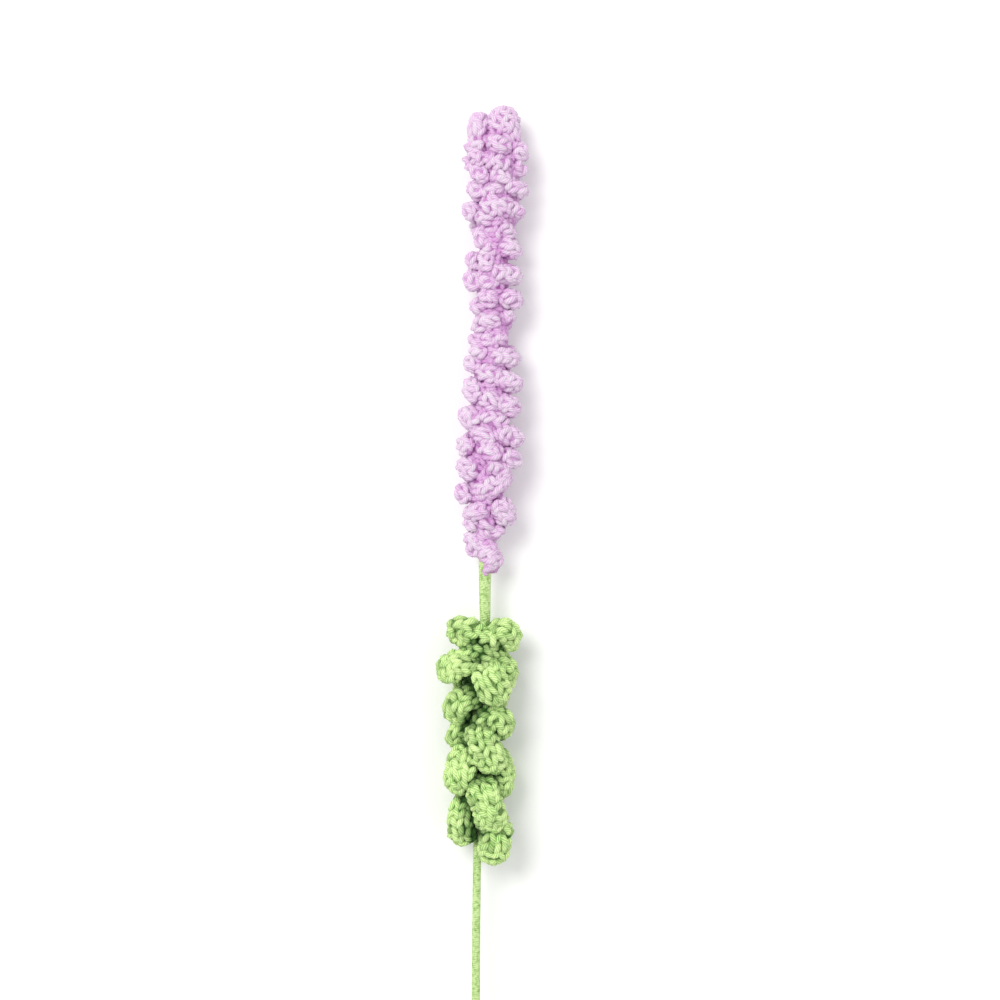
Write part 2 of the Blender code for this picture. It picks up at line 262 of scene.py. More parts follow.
# Leaves seen from above, each as its middle line in millimetres from the strip to where the tip
# starts to curl under, its width, and the way it faces: 0 is up, 90 is to the left of its line.
FRONT_LEAVES = [
    ([(1.1, 23.0, 12.5), (-2.5, 25.1, 15.5), (-6.4, 26.3, 16.5), (-9.8, 25.7, 15.5)], 11.8, 12.0),
    ([(2.2, 24.2, 12.0), (3.5, 27.6, 14.2), (6.8, 29.2, 15.4), (10.2, 27.4, 15.4),
      (11.0, 24.0, 14.2), (9.0, 21.3, 13.8)], 10.4, 62.0),
    ([(0.1, 18.2, 12.5), (-4.1, 18.0, 16.0), (-8.9, 17.1, 17.0), (-12.1, 14.3, 16.5),
      (-12.1, 11.1, 14.5)], 11.6, -42.0),
    ([(1.0, 17.6, 14.5), (2.2, 13.6, 19.3), (3.4, 9.7, 21.4), (4.8, 6.2, 20.8),
      (5.4, 3.6, 18.0)], 12.4, 4.0),
    ([(5.1, 18.9, 12.0), (8.4, 17.2, 13.0), (10.0, 14.3, 12.5), (10.2, 11.4, 12.0),
      (8.6, 9.4, 12.0)], 10.0, 70.0),
    ([(-0.2, 7.3, 12.5), (-4.8, 6.2, 16.0), (-8.6, 3.9, 16.5), (-9.9, 0.6, 15.5),
      (-8.4, -2.8, 13.0)], 11.0, -42.0),
    ([(0.5, -1.3, 14.0), (4.0, -0.1, 17.0), (7.0, -1.7, 17.5), (8.0, -4.9, 16.0),
      (7.2, -7.6, 13.5)], 10.6, 35.0),
    ([(-1.2, -3.6, 14.0), (-0.2, -7.4, 19.5), (1.5, -11.2, 21.6), (3.1, -15.1, 21.3),
      (3.8, -18.6, 18.3)], 11.4, 3.0),
    ([(-2.8, -3.9, 11.0), (-6.4, -5.5, 12.5), (-8.4, -8.1, 12.5),
      (-7.8, -10.9, 11.0)], 10.0, -25.0),
    ([(-2.2, -10.9, 13.0), (-5.5, -13.6, 17.0), (-7.2, -17.9, 18.8), (-7.8, -22.2, 18.2),
      (-7.5, -25.9, 15.5)], 11.8, -18.0),
    ([(5.2, -12.0, 12.0), (7.6, -15.2, 13.0), (8.8, -20.0, 13.0), (8.5, -24.5, 12.5),
      (6.8, -27.2, 12.5)], 10.0, 62.0),
    ([(-0.5, -20.5, 14.0), (0.2, -24.4, 19.5), (1.5, -28.9, 21.6), (3.1, -33.3, 21.3),
      (4.0, -38.0, 18.3)], 11.8, 3.0),
    ([(-2.9, -28.0, 13.0), (-5.8, -30.6, 15.5), (-7.0, -34.9, 16.8), (-7.0, -39.2, 16.0),
      (-6.4, -42.6, 14.0)], 10.8, -15.0),
    ([(4.8, -34.0, 16.0), (5.0, -38.2, 18.5), (4.5, -42.6, 18.7), (3.8, -46.2, 17.4),
      (3.4, -48.8, 15.5)], 11.4, 5.0),
    ([(3.4, -28.3, 11.0), (5.3, -31.0, 11.0), (6.2, -34.6, 10.5), (5.6, -38.3, 10.5)], 9.0, 78.0),
    ([(-0.8, 25.2, 14.5), (1.0, 24.2, 17.4), (3.4, 23.6, 17.6), (5.6, 24.2, 15.0)], 7.2, 0.0),
    ([(-6.2, 19.4, 13.5), (-2.8, 19.6, 16.4), (0.8, 19.6, 17.4), (4.6, 19.6, 16.0),
      (7.2, 18.8, 13.0)], 7.0, 0.0),
    ([(5.6, 3.0, 14.6), (3.2, 0.8, 16.8), (0.9, -2.2, 17.2), (-1.2, -5.4, 15.6)], 7.8, 0.0),
]
# Leaves on the side the stem lies on: y of the middle, angle round the stem (0 at +X, 90 up), how
# far it stands out, length, width and lean, with lengths in millimetres.
BACK_LEAVES = [
    (18.8, 272.0, 12.4, 12.4, 11.0, 6.0),
    (6.2, 234.0, 13.6, 13.0, 11.0, -8.0),
    (2.4, 291.0, 13.4, 13.0, 10.4, 9.0),
    (-8.6, 270.0, 12.6, 13.4, 11.0, -6.0),
    (-20.4, 232.0, 13.4, 14.0, 11.0, 7.0),
    (-18.2, 294.0, 13.2, 14.0, 10.4, -9.0),
    (-31.0, 268.0, 12.8, 14.4, 11.0, 5.0),
    (-36.0, 230.0, 12.0, 11.2, 10.0, -6.0),
]
# The core of the leaves, wound on the stem: where it starts and ends, its radius, and how far its
# middle lies under the stem's line.
LEAF_TOP = 27.5 * MM
LEAF_END = -37.5 * MM
LEAF_CORE = 4.7 * MM
LEAF_CORE_DROP = 1.2 * MM
LEAF_CORE_POINTS = 40
LEAF_THICK = 2.4 * MM
LEAF_RISE = 2.1 * MM
LEAF_ROOT_ROUND = 2.0 * MM
# A leaf curls under at its tip: where its line goes past its last point, onwards and up in
# millimetres, and the way it faces there, onwards and up.
LEAF_CURL = [(0.9, -0.5), (1.5, -1.5)]
CURL_FACING = [(0.8, 0.4), (1.0, 0.0)]
LEAF_SEED = 5

# Painted shade deepens the colour inwards, in the hollows among lobes and leaves: from this far
# below the tops of the lobes and leaves, over this depth, and by this much. In the flower's tip the
# depth is measured from a point on the stem's line.
SHADE_BELOW = 0.6 * MM
SHADE_DEPTH = 3.4 * MM
SHADE_INSIDE = 0.75
CROWN = 187.0 * MM
# Halfway down the bare stem, where the flower's depths give way to those of the leaves.
FLOWER_TO_LEAF = 37.25 * MM
# How far the leaves stand out, less at both ends where they lean away from the stem: (y, distance)
# in millimetres.
LEAF_REACH = [(31.0, 4.2), (23.5, 10.1), (-40.0, 10.1), (-45.0, 4.4)]

# How high the lowest strands lie when they are pressed on the surface.
PRESSED = 1.08 * MM
PRESS_SOFTNESS = 0.8 * MM

CAMERA_AIM = Vector((6.07, 69.9, 10.0)) * MM
CAMERA_HEIGHT = 1.35
VIEW_WIDTH = 0.330
SENSOR = 36.0
FLOOR_SIZE = 6.0
# The middle of the flower and leaves on the floor, which the floor and lights are set round.
MIDDLE = (0.0, 0.07, 0.0)


def smooth(points, steps):
    """A smooth line through the points, with this many steps from each to the next."""
    points = np.asarray(points, float)
    padded = np.vstack([2 * points[0] - points[1], points, 2 * points[-1] - points[-2]])
    a, b, c, d = padded[:-3], padded[1:-2], padded[2:-1], padded[3:]
    t = (np.arange(steps) / steps)[:, None, None]
    spans = 0.5 * (2 * b + (c - a) * t + (2 * a - 5 * b + 4 * c - d) * t**2
                   + (3 * b - a - 3 * c + d) * t**3)
    return np.vstack([spans.transpose(1, 0, 2).reshape(-1, points.shape[1]), points[-1:]])


def lengths_along(line):
    steps = np.linalg.norm(np.diff(line[:, :3], axis=0), axis=1)
    return np.concatenate([[0.0], np.cumsum(steps)])


def sample(line, at):
    """The line's columns at these lengths along it."""
    lengths = lengths_along(line)
    return np.column_stack([np.interp(at, lengths, column) for column in line.T])


def columns(table):
    """The columns of a table in metres, from its last row to its first."""
    return (np.array(column)[::-1] * MM for column in zip(*table))


def unit(vectors):
    return vectors / np.maximum(np.linalg.norm(vectors, axis=-1, keepdims=True), 1e-9)


STEM = smooth(np.array(STEM_LINE) * MM, 6)


def stem_point(y):
    """Where the stem's line passes each y."""
    y = np.asarray(y, float)
    x, z = (np.interp(-y, -STEM[:, 1], STEM[:, column]) for column in (0, 2))
    return np.stack([x, y, z], axis=-1)


def outward_at(angle):
    """The direction out from the stem at each angle round it, which is 0 at +X and grows to +Z."""
    angle = np.asarray(angle, float)
    return np.stack([np.cos(angle), 0.0 * angle, np.sin(angle)], axis=-1)


def facing_up(line):
    return np.tile(UP, (len(line), 1))


def pressed(points):
    """The points, kept above the surface that the stem's weight presses them on."""
    points = points.copy()
    over = (points[..., 2] - PRESSED) / PRESS_SOFTNESS
    points[..., 2] = PRESSED + PRESS_SOFTNESS * np.logaddexp(0.0, over)
    return points


class Form:
    """The inside of a crocheted form: an oval bar along a line, rounded at both ends."""

    def __init__(self, line, facing, wide, thick, root=1.0 * MM):
        total = lengths_along(line)[-1]
        rows = np.column_stack([
            line, unit(np.gradient(line, axis=0)), facing,
            np.full(len(line), wide), np.full(len(line), thick),
        ])
        tip = min(max(rows[-1, 9:]), TIP_PART * total)
        root = min(root, ROOT_PART * total)
        bend = np.linspace(0.0, 0.5 * math.pi, END_RINGS + 1)[1:]
        count = max(int((total - root - tip) / RING_SPACING), 1)
        middle = np.linspace(root, total - tip, count + 2)[1:-1]
        start, end = root * (1.0 - np.cos(bend)), total - tip * (1.0 - np.cos(bend[::-1]))
        narrow = np.concatenate([np.sin(bend), np.ones(len(middle)), np.sin(bend[::-1])])
        rows = sample(rows, np.concatenate([start, middle, end]))
        self.centres = rows[:, :3]
        self.tangents = unit(rows[:, 3:6])
        self.asides = unit(np.cross(self.tangents, rows[:, 6:9]))
        self.normals = np.cross(self.asides, self.tangents)
        self.wide, self.thick = rows[:, 9] * narrow, rows[:, 10] * narrow
        self.ends = [line[0], line[-1]]
        angle = np.arange(ROUND) * TURN / ROUND
        across = self.asides[:, None] * (self.wide[:, None] * np.cos(angle))[:, :, None]
        up = self.normals[:, None] * (self.thick[:, None] * np.sin(angle))[:, :, None]
        points = pressed(self.centres[:, None] + across + up)
        by = np.roll(points, -1, axis=1) - np.roll(points, 1, axis=1)
        outward = unit(np.cross(by, np.gradient(points, axis=0)))
        out = points - self.centres[:, None]
        outward *= np.sign(np.sum(outward * out, axis=2, keepdims=True))
        self.table = np.concatenate([points, outward], axis=2)
        steps = np.linalg.norm(np.diff(points, axis=0), axis=2).mean(axis=1)
        self.lengths = np.concatenate([[0.0], np.cumsum(steps)])
        self.sides = np.linalg.norm(np.roll(points, -1, axis=1) - points, axis=2)

    def at(self, i, j):
        """Places and outward directions at ring i of the form and at j of the points round it."""
        i = np.clip(i, 0.0, len(self.table) - 1.001)
        j = np.mod(j, ROUND)
        low, left = i.astype(int), j.astype(int) % ROUND
        down, along = (i - low)[:, None], (j - np.floor(j))[:, None]
        right = (left + 1) % ROUND
        near = self.table[low, left] * (1.0 - along) + self.table[low, right] * along
        far = self.table[low + 1, left] * (1.0 - along) + self.table[low + 1, right] * along
        return near * (1.0 - down) + far * down

    def stitch(self, i, j, way, kind, rng):
        """A strand that lies on the form across this place and sinks into it at both ends."""
        reach = np.sin(np.linspace(-0.5 * math.pi, 0.5 * math.pi, STITCH_STEPS + 1))
        girth = self.sides[int(i)].sum()
        half = min(kind.half, STITCH_GIRTH * girth) * (1.0 + rng.gauss(0.0, LENGTH_STRAY))
        pace = np.interp(i, np.arange(len(self.lengths)), np.gradient(self.lengths))
        side = max(self.sides[int(i), int(j) % ROUND], LEAST_SIDE)
        rings, rounds = reach * half * math.cos(way) / pace, reach * half * math.sin(way) / side
        at = self.at(i + rings, j + rounds)
        bow = rng.gauss(0.0, BOW_STRAY) * (1.0 - reach**2)
        across = unit(np.cross(at[:, 3:], np.gradient(at[:, :3], axis=0)))
        sunk = kind.sink * np.abs(reach) ** STITCH_BEND
        height = kind.top + rng.gauss(0.0, HEIGHT_STRAY) - sunk
        points = pressed(at[:, :3] + at[:, 3:] * height[:, None] + across * bow[:, None])
        thickness = kind.strand * (1.0 + rng.gauss(0.0, RADIUS_STRAY))
        radius = thickness * (1.0 - STITCH_TAPER * reach**2)
        # Painted shade where the strand's ends sink in, plus a random tone of its own.
        shade = kind.end_shade * np.abs(reach) ** 3 + rng.gauss(0.0, DARK_STRAY)
        return np.column_stack([points, radius, shade])

    def stitches(self, kind, rng, turn=0.0):
        """Rows of stitches all over the form, which lean left and right by turns."""
        strands = []
        length = FIRST_ROW
        shift = rng.random()
        while length < self.lengths[-1] - LAST_ROW:
            i = float(np.interp(length, self.lengths, np.arange(len(self.lengths))))
            girth = np.concatenate([[0.0], np.cumsum(self.sides[int(i)])])
            count = max(2 * int(round(0.5 * girth[-1] / kind.column)), FEWEST_IN_ROW)
            shift += rng.gauss(0.0, SHIFT_STRAY)
            near_end = max(0.0, 1.0 - min(length, self.lengths[-1] - length) / kind.row)
            leaning = kind.lean + near_end * (ROUND_END_LEAN - kind.lean)
            for k in range(count):
                part = (k + shift + rng.gauss(0.0, COLUMN_STRAY)) / count % 1.0
                j = float(np.interp(part * girth[-1], girth, np.arange(ROUND + 1)))
                way = turn + (1 if k % 2 else -1) * leaning + rng.gauss(0.0, kind.loose)
                spacing = self.lengths[-1] / len(self.lengths)
                near = i + rng.gauss(0.0, ROW_STRAY) * kind.row / spacing
                near = min(max(near, 0.0), len(self.table) - 1.01)
                strands.append(self.stitch(near, j, way, kind, rng))
            length += kind.row
        return strands

    def holds(self, points):
        """Which of the points lie deep inside the form."""
        apart = points[:, None] - self.centres[None]
        nearest = np.argmin(np.sum(apart**2, axis=2), axis=1)
        apart = apart[np.arange(len(points)), nearest]
        wide = np.maximum(self.wide[nearest] - HIDDEN_DEPTH, LEAST_WIDTH)
        thick = np.maximum(self.thick[nearest] - HIDDEN_DEPTH, LEAST_WIDTH)
        x = np.sum(apart * self.asides[nearest], axis=1) / wide
        y = np.sum(apart * self.normals[nearest], axis=1) / thick
        z = np.sum(apart * self.tangents[nearest], axis=1) / HIDDEN_REACH
        return x**2 + y**2 + z**2 < 1.0


def seen(strands, own, forms):
    """The strands of one form whose middle isn't hidden inside another."""
    middles = np.array([strand[len(strand) // 2, :3] for strand in strands])
    hidden = np.zeros(len(middles), bool)
    for form in forms:
        if form is not own:
            hidden |= form.holds(middles)
    return [strand for strand, covered in zip(strands, hidden) if not covered]


def cover(core, forms, kind, rng):
    """All the strands on the core and on the forms around it that can be seen."""
    strands = seen(core.stitches(kind, rng, turn=CORE_LEAN), core, forms)
    for form in forms:
        strands += seen(form.stitches(kind, rng), form, forms + [core])
    return strands


def corner_uvs(corners):
    """The UVs of faces, from the (round, along) of all first corners, all second corners and on."""
    return np.stack([np.stack(corner, axis=1) for corner in corners], axis=1)


def fill(name, forms):
    """One mesh of all the forms, each closed, which shows between the stitches."""
    places, quads, fans, quad_uvs, fan_uvs = [], [], [], [], []
    rounds = np.arange(ROUND)
    first = 0
    for form in forms:
        count = len(form.table)
        places += [form.table[:, :, :3].reshape(-1, 3), pressed(np.array(form.ends))]
        i, j = (grid.ravel() for grid in np.meshgrid(np.arange(count - 1), rounds, indexing="ij"))
        corners = [(i, j), (i, j + 1), (i + 1, j + 1), (i + 1, j)]
        quads.append(np.stack([first + a * ROUND + b % ROUND for a, b in corners], axis=1))
        quad_uvs.append(corner_uvs([(FILL_TURNS * b / ROUND, form.lengths[a]) for a, b in corners]))
        for ring, pole in ((0, count * ROUND), (count - 1, count * ROUND + 1)):
            edge = [ring * ROUND + rounds, ring * ROUND + (rounds + 1) % ROUND]
            fans.append(first + np.stack([*edge, pole + 0 * rounds], axis=1))
            along = np.full(ROUND, form.lengths[ring])
            fan_uvs.append(corner_uvs([(FILL_TURNS * (rounds + step) / ROUND, along)
                                       for step in (0, 1, 0.5)]))
        first += count * ROUND + 2
    faces = np.concatenate(quads).tolist() + np.concatenate(fans).tolist()
    mesh = bpy.data.meshes.new(name)
    mesh.from_pydata(np.concatenate(places).tolist(), [], faces)
    layer = mesh.uv_layers.new(name="UVMap")
    uvs = [np.concatenate(quad_uvs).ravel(), np.concatenate(fan_uvs).ravel()]
    layer.data.foreach_set("uv", np.concatenate(uvs))
    # The form between the stitches is darkened all over with painted shade.
    add_shade(mesh, np.full(len(mesh.vertices), FILL_SHADE))
    bm = bmesh.new()
    bm.from_mesh(mesh)
    bmesh.ops.recalc_face_normals(bm, faces=bm.faces)
    bm.to_mesh(mesh)
    bm.free()
    mesh.shade_smooth()
    body = bpy.data.objects.new(name, mesh)
    bpy.context.scene.collection.objects.link(body)
    return body


def add_shade(mesh, shade):
    """Keeps the painted shade at each point: its own, and more towards the stem's line."""
    places = np.empty(3 * len(mesh.vertices), np.float32)
    mesh.vertices.foreach_get("co", places)
    places = places.reshape(-1, 3)
    out = np.linalg.norm(places - stem_point(np.minimum(places[:, 1], CROWN)), axis=1)
    leaves = np.interp(places[:, 1], *columns(LEAF_REACH))
    tops = np.where(places[:, 1] > FLOWER_TO_LEAF, flower_reach(places[:, 1]), leaves)
    inside = np.clip((tops - SHADE_BELOW - out) / SHADE_DEPTH, 0.0, 1.0)
    layer = mesh.attributes.new("shade", "FLOAT", "POINT")
    layer.data.foreach_set("value", (shade + SHADE_INSIDE * inside).astype(np.float32))


def round_outline(name, points):
    """The yarn's cross-section, as a closed flat curve."""
    curve = bpy.data.curves.new(name, "CURVE")
    curve.dimensions = "2D"
    spline = curve.splines.new("POLY")
    spline.points.add(points - 1)
    spline.use_cyclic_u = True
    for i, point in enumerate(spline.points):
        angle = -TURN * i / points
        point.co = (math.cos(angle), math.sin(angle), 0.0, 1.0)
    outline = bpy.data.objects.new(name, curve)
    bpy.context.scene.collection.objects.link(outline)
    return outline


def spin_yarn(name, strands, outline):
    """One mesh of yarn that follows the strands, each a list of (x, y, z, radius, shade) rows."""
    curve = bpy.data.curves.new(name, "CURVE")
    curve.dimensions = "3D"
    curve.twist_mode = "MINIMUM"
    curve.bevel_mode = "OBJECT"
    curve.bevel_object = outline
    curve.use_fill_caps = True
    sides = len(outline.data.splines[0].points)
    along = []
    for strand in strands:
        spline = curve.splines.new("POLY")
        spline.points.add(len(strand) - 1)
        places = np.column_stack([strand[:, :3], np.ones(len(strand))])
        spline.points.foreach_set("co", places.ravel())
        spline.points.foreach_set("radius", strand[:, 3].copy())
        along.append(np.repeat(lengths_along(strand), sides))
    yarn = bpy.data.objects.new(name, curve)
    bpy.context.scene.collection.objects.link(yarn)
    bpy.ops.object.select_all(action="DESELECT")
    yarn.select_set(True)
    bpy.context.view_layer.objects.active = yarn
    bpy.ops.object.convert(target="MESH")
    mesh = yarn.data
    along = np.concatenate(along)
    caps = np.zeros(len(mesh.vertices) - len(along))
    along = np.concatenate([caps, along])
    shade = np.repeat(np.concatenate(strands)[:, 4], sides)
    # The caps, sunk in the forms, and each strand carry painted shade.
    add_shade(mesh, np.concatenate([caps + CAP_SHADE, shade]))
    corners = np.empty(len(mesh.loops), np.int32)
    mesh.loops.foreach_get("vertex_index", corners)
    uv = np.empty(2 * len(corners), np.float32)
    mesh.uv_layers[0].data.foreach_get("uv", uv)
    uv = np.column_stack([uv[1::2], along[corners]]).astype(np.float32)
    mesh.uv_layers[0].data.foreach_set("uv", uv.ravel())
    bm = bmesh.new()
    bm.from_mesh(mesh)
    bmesh.ops.remove_doubles(bm, verts=bm.verts, dist=1e-6)
    for vert in bm.verts:
        vert.co.z = max(vert.co.z, 0.0)
    bm.to_mesh(mesh)
    bm.free()
    mesh.shade_smooth()
    return yarn


def flower_turn(turn):
    """The y of the flower's spiral after this many turns, and how far it stands out there."""
    turns = np.arange(len(FLOWER_TURNS))
    ys, rights, lefts = (np.array(column) * MM for column in zip(*FLOWER_TURNS))
    side = 0.5 + 0.5 * np.cos(TURN * turn)
    right, left = np.interp(turn, turns, rights), np.interp(turn, turns + 0.5, lefts)
    return np.interp(turn, turns, ys), right * side + left * (1.0 - side)


def flower_reach(y):
    """How far the lobes stand out on average at this height of the flower."""
    ys, rights, lefts = columns(FLOWER_TURNS)
    return np.interp(y, ys, 0.5 * (rights + lefts))


def flower_core():
    """The strip's inner edge, wound close to the wire."""
    turns = np.arange(CORE_START, len(FLOWER_TURNS) - 1 + CORE_PAST, CORE_STEP)
    y, reach = flower_turn(turns)
    _, across = flower_turn(turns + 0.5)
    mean = 0.5 * (reach + across)
    ys, lefts, rights = columns(FLOWER_WAIST)
    left, right = np.interp(y, ys, lefts), np.interp(y, ys, rights)
    wide, thick = 0.5 * (left + right) - WAIST_SKIN, np.maximum(mean - CORE_DEPTH, CORE_THINNEST)
    line = stem_point(y)
    line[:, 0] += 0.5 * (right - left)
    return Form(line, facing_up(line), wide, thick, CORE_ROOT)


def near_lobe(x, y, long, short, slant):
    """A lobe seen from above, bent over the round of the flower."""
    part = np.linspace(-1.0, 1.0, LOBE_POINTS)
    wide = short * MM - FLOWER_SKIN
    half = max(long * MM - FLOWER_SKIN, wide)
    xs = x * MM + part * half * math.cos(math.radians(slant))
    ys = y * MM - part * half * math.sin(math.radians(slant))
    middle = stem_point(ys)
    aside = xs - middle[:, 0]
    high = flower_reach(ys) - FLOWER_SKIN - LOBE_THICK
    far = np.maximum(high, np.abs(aside).max() + LOBE_CLEAR)
    up = high * np.sqrt(1.0 - (aside / far) ** 2)
    line = np.column_stack([xs, ys, middle[:, 2] + up])
    return Form(line, unit(np.column_stack([aside, 0.0 * up, up])), wide, LOBE_THICK, wide)


def far_lobe(turn, rng):
    """A lobe that lies along the spiral after this many turns, and swells out from it."""
    y, reach = flower_turn(turn)
    small = min(reach / FULL_REACH, 1.0)
    wide = LOBE_WIDE * small * (1.0 + rng.gauss(0.0, LOBE_SIZE_STRAY))
    thick = LOBE_THICK * small * (1.0 + rng.gauss(0.0, LOBE_THICK_STRAY))
    slant = LOBE_SLANT + rng.gauss(0.0, LOBE_SLANT_STRAY)
    half = LOBE_HALF * small * (1.0 + rng.gauss(0.0, LOBE_SIZE_STRAY))
    out = reach - FLOWER_SKIN - thick
    part = np.linspace(-1.0, 1.0, LOBE_POINTS)
    middle = -TURN * turn + rng.gauss(0.0, LOBE_ANGLE_STRAY)
    outward = outward_at(middle - part * half * math.cos(slant) / out)
    along = y + rng.gauss(0.0, LOBE_PLACE_STRAY) - part * half * math.sin(slant)
    line = stem_point(along) + outward * (out - LOBE_ROUND * part**2)[:, None]
    return Form(line, outward, wide, thick, wide)


def end_lobe(points, wide, thick):
    """A lobe that stands up at the flower's tip."""
    line = smooth(np.array(points) * MM, 4)
    return Form(line, facing_up(line), wide * MM, thick * MM)


def flower_forms():
    """The core and lobes of the flower, and the strands that cover them."""
    rng = random.Random(FLOWER_SEED)
    core = flower_core()
    forms = [near_lobe(*lobe) for lobe in NEAR_LOBES]
    for turn in range(len(FLOWER_TURNS) - 1):
        forms += [far_lobe(turn + part, rng) for part in FAR_LOBES]
    forms += [end_lobe(*lobe) for lobe in END_LOBES]
    return [core] + forms, cover(core, forms, FLOWER_STITCHING, rng)


def front_leaf(points, roll):
    """A leaf's middle line, curled under at its tip, and the way it faces along that line."""
    points = np.array(points)
    tangents = unit(np.gradient(points, axis=0))
    left = unit(np.cross(UP, tangents))
    facing = UP * math.cos(math.radians(roll)) + left * math.sin(math.radians(roll))
    normals = unit(facing - tangents * np.sum(tangents * facing, axis=1, keepdims=True))
    curl = [points[-1] + tangents[-1] * on + normals[-1] * up for on, up in LEAF_CURL]
    ways = [tangents[-1] * on + normals[-1] * up for on, up in CURL_FACING]
    line = smooth(np.hstack([np.vstack([points, curl]) * MM, np.vstack([normals, ways])]), 6)
    return line[:, :3], line[:, 3:]


def back_leaf(y, angle, reach, length, lean):
    """The same for a leaf under the stem, which drops along it and is pressed on the surface."""
    outward = outward_at(math.radians(angle))
    around = np.cross(outward, ALONG)
    down = -(ALONG * math.cos(math.radians(lean)) + around * math.sin(math.radians(lean)))
    out = reach * MM - LEAF_RISE
    half = 0.5 * length * MM - LEAF_RISE
    root = 3.2 * MM
    shape = [
        (root, -half + 1.5 * MM),
        (0.45 * (root + out), -half),
        (out - 0.8 * MM, -half + 1.0 * MM),
        (out, -0.3 * half),
        (out - 0.2 * MM, 0.4 * half),
        (out - 1.6 * MM, 0.9 * half),
        (out - 3.4 * MM, half),
        (out - 5.0 * MM, half - 0.8 * MM),
    ]
    line = smooth([stem_point(y * MM) + outward * r + down * s for r, s in shape], 6)
    return line, np.tile(outward, (len(line), 1))


def leaf_forms():
    """The core and leaves of the cluster, and the strands that cover them."""
    rng = random.Random(LEAF_SEED)
    line = stem_point(np.linspace(LEAF_TOP, LEAF_END, LEAF_CORE_POINTS)) - UP * LEAF_CORE_DROP
    core = Form(line, facing_up(line), LEAF_CORE, LEAF_CORE)
    shapes = [(*front_leaf(points, roll), width) for points, width, roll in FRONT_LEAVES]
    shapes += [(*back_leaf(y, angle, reach, length, lean), width)
               for y, angle, reach, length, width, lean in BACK_LEAVES]
    forms = []
    for line, facing, width in shapes:
        line = line - unit(facing) * (LEAF_THICK + LEAF_SKIN - LEAF_RISE)
        forms.append(Form(line, facing, 0.5 * width * MM - LEAF_SKIN, LEAF_THICK, LEAF_ROOT_ROUND))
    return [core] + forms, cover(core, forms, LEAF_STITCHING, rng)


def wrap_strand():
    """Fine thread wound tightly round the wire, as rows of (x, y, z, radius, shade)."""
    top, end = WRAP_OUTLINE[0][0] * MM, WRAP_OUTLINE[-1][0] * MM
    turns = (top - end) / WRAP_PITCH
    angle = np.arange(int(turns * WRAP_STEPS)) * TURN / WRAP_STEPS
    y = top - WRAP_PITCH * angle / TURN
    ys = [-row[0] * MM for row in WRAP_OUTLINE]
    radius = np.interp(-y, ys, [row[1] * MM for row in WRAP_OUTLINE]) - THREAD_RADIUS
    line = stem_point(y) + outward_at(-angle) * radius[:, None]
    return np.column_stack([line, np.full(len(y), THREAD_RADIUS), np.full(len(y), THREAD_SHADE)])


class Value:
    """A number, colour or vector that a node gives, with the arithmetic of numbers."""

    def __init__(self, finish, socket):
        self.finish = finish
        self.socket = socket

    def math(self, operation, *values):
        inputs = dict(enumerate(values))
        return self.finish.node("ShaderNodeMath", {"operation": operation}, inputs)

    def __add__(self, other):
        return self.math("ADD", self, other)

    def __sub__(self, other):
        return self.math("SUBTRACT", self, other)

    def __rsub__(self, other):
        return self.math("SUBTRACT", other, self)

    def __mul__(self, other):
        return self.math("MULTIPLY", self, other)

    def __pow__(self, other):
        return self.math("POWER", self, other)

    __radd__ = __add__
    __rmul__ = __mul__

    def cosine(self):
        return self.math("COSINE", self)

    def clamped(self):
        return self.finish.node("ShaderNodeClamp", {}, {"Value": self})


class Finish:
    """A material put together from nodes."""

    def __init__(self, name, **constants):
        self.material = bpy.data.materials.new(name)
        self.material.use_nodes = True
        self.tree = self.material.node_tree
        self.shader = self.tree.nodes["Principled BSDF"]
        for socket, value in constants.items():
            self.shader.inputs[socket.replace("_", " ")].default_value = value

    def node(self, kind, settings, inputs, output=0):
        node = self.tree.nodes.new(kind)
        for name, value in settings.items():
            setattr(node, name, value)
        for key, value in inputs.items():
            self.feed(node.inputs[key], value)
        return Value(self, node.outputs[output])

    def feed(self, socket, value):
        if isinstance(value, Value):
            self.tree.links.new(value.socket, socket)
        elif isinstance(value, tuple) and len(value) == 3 and socket.type == "RGBA":
            socket.default_value = (*value, 1.0)
        else:
            socket.default_value = value

    def show(self, name, value):
        """Feeds the socket of the shader that has this name."""
        self.feed(self.shader.inputs[name], value)

    def mix(self, factor, first, second):
        """The colour at this factor from the first to the second."""
        inputs = {0: factor, 6: first, 7: second}
        return self.node("ShaderNodeMix", {"data_type": "RGBA"}, inputs, output=2)

    def noise(self, place, scale, detail):
        inputs = {"Vector": place, "Scale": scale, "Detail": detail}
        return self.node("ShaderNodeTexNoise", {}, inputs)

    def bump(self, height, distance, strength):
        inputs = {"Height": height, "Distance": distance, "Strength": strength}
        return self.node("ShaderNodeBump", {}, inputs)


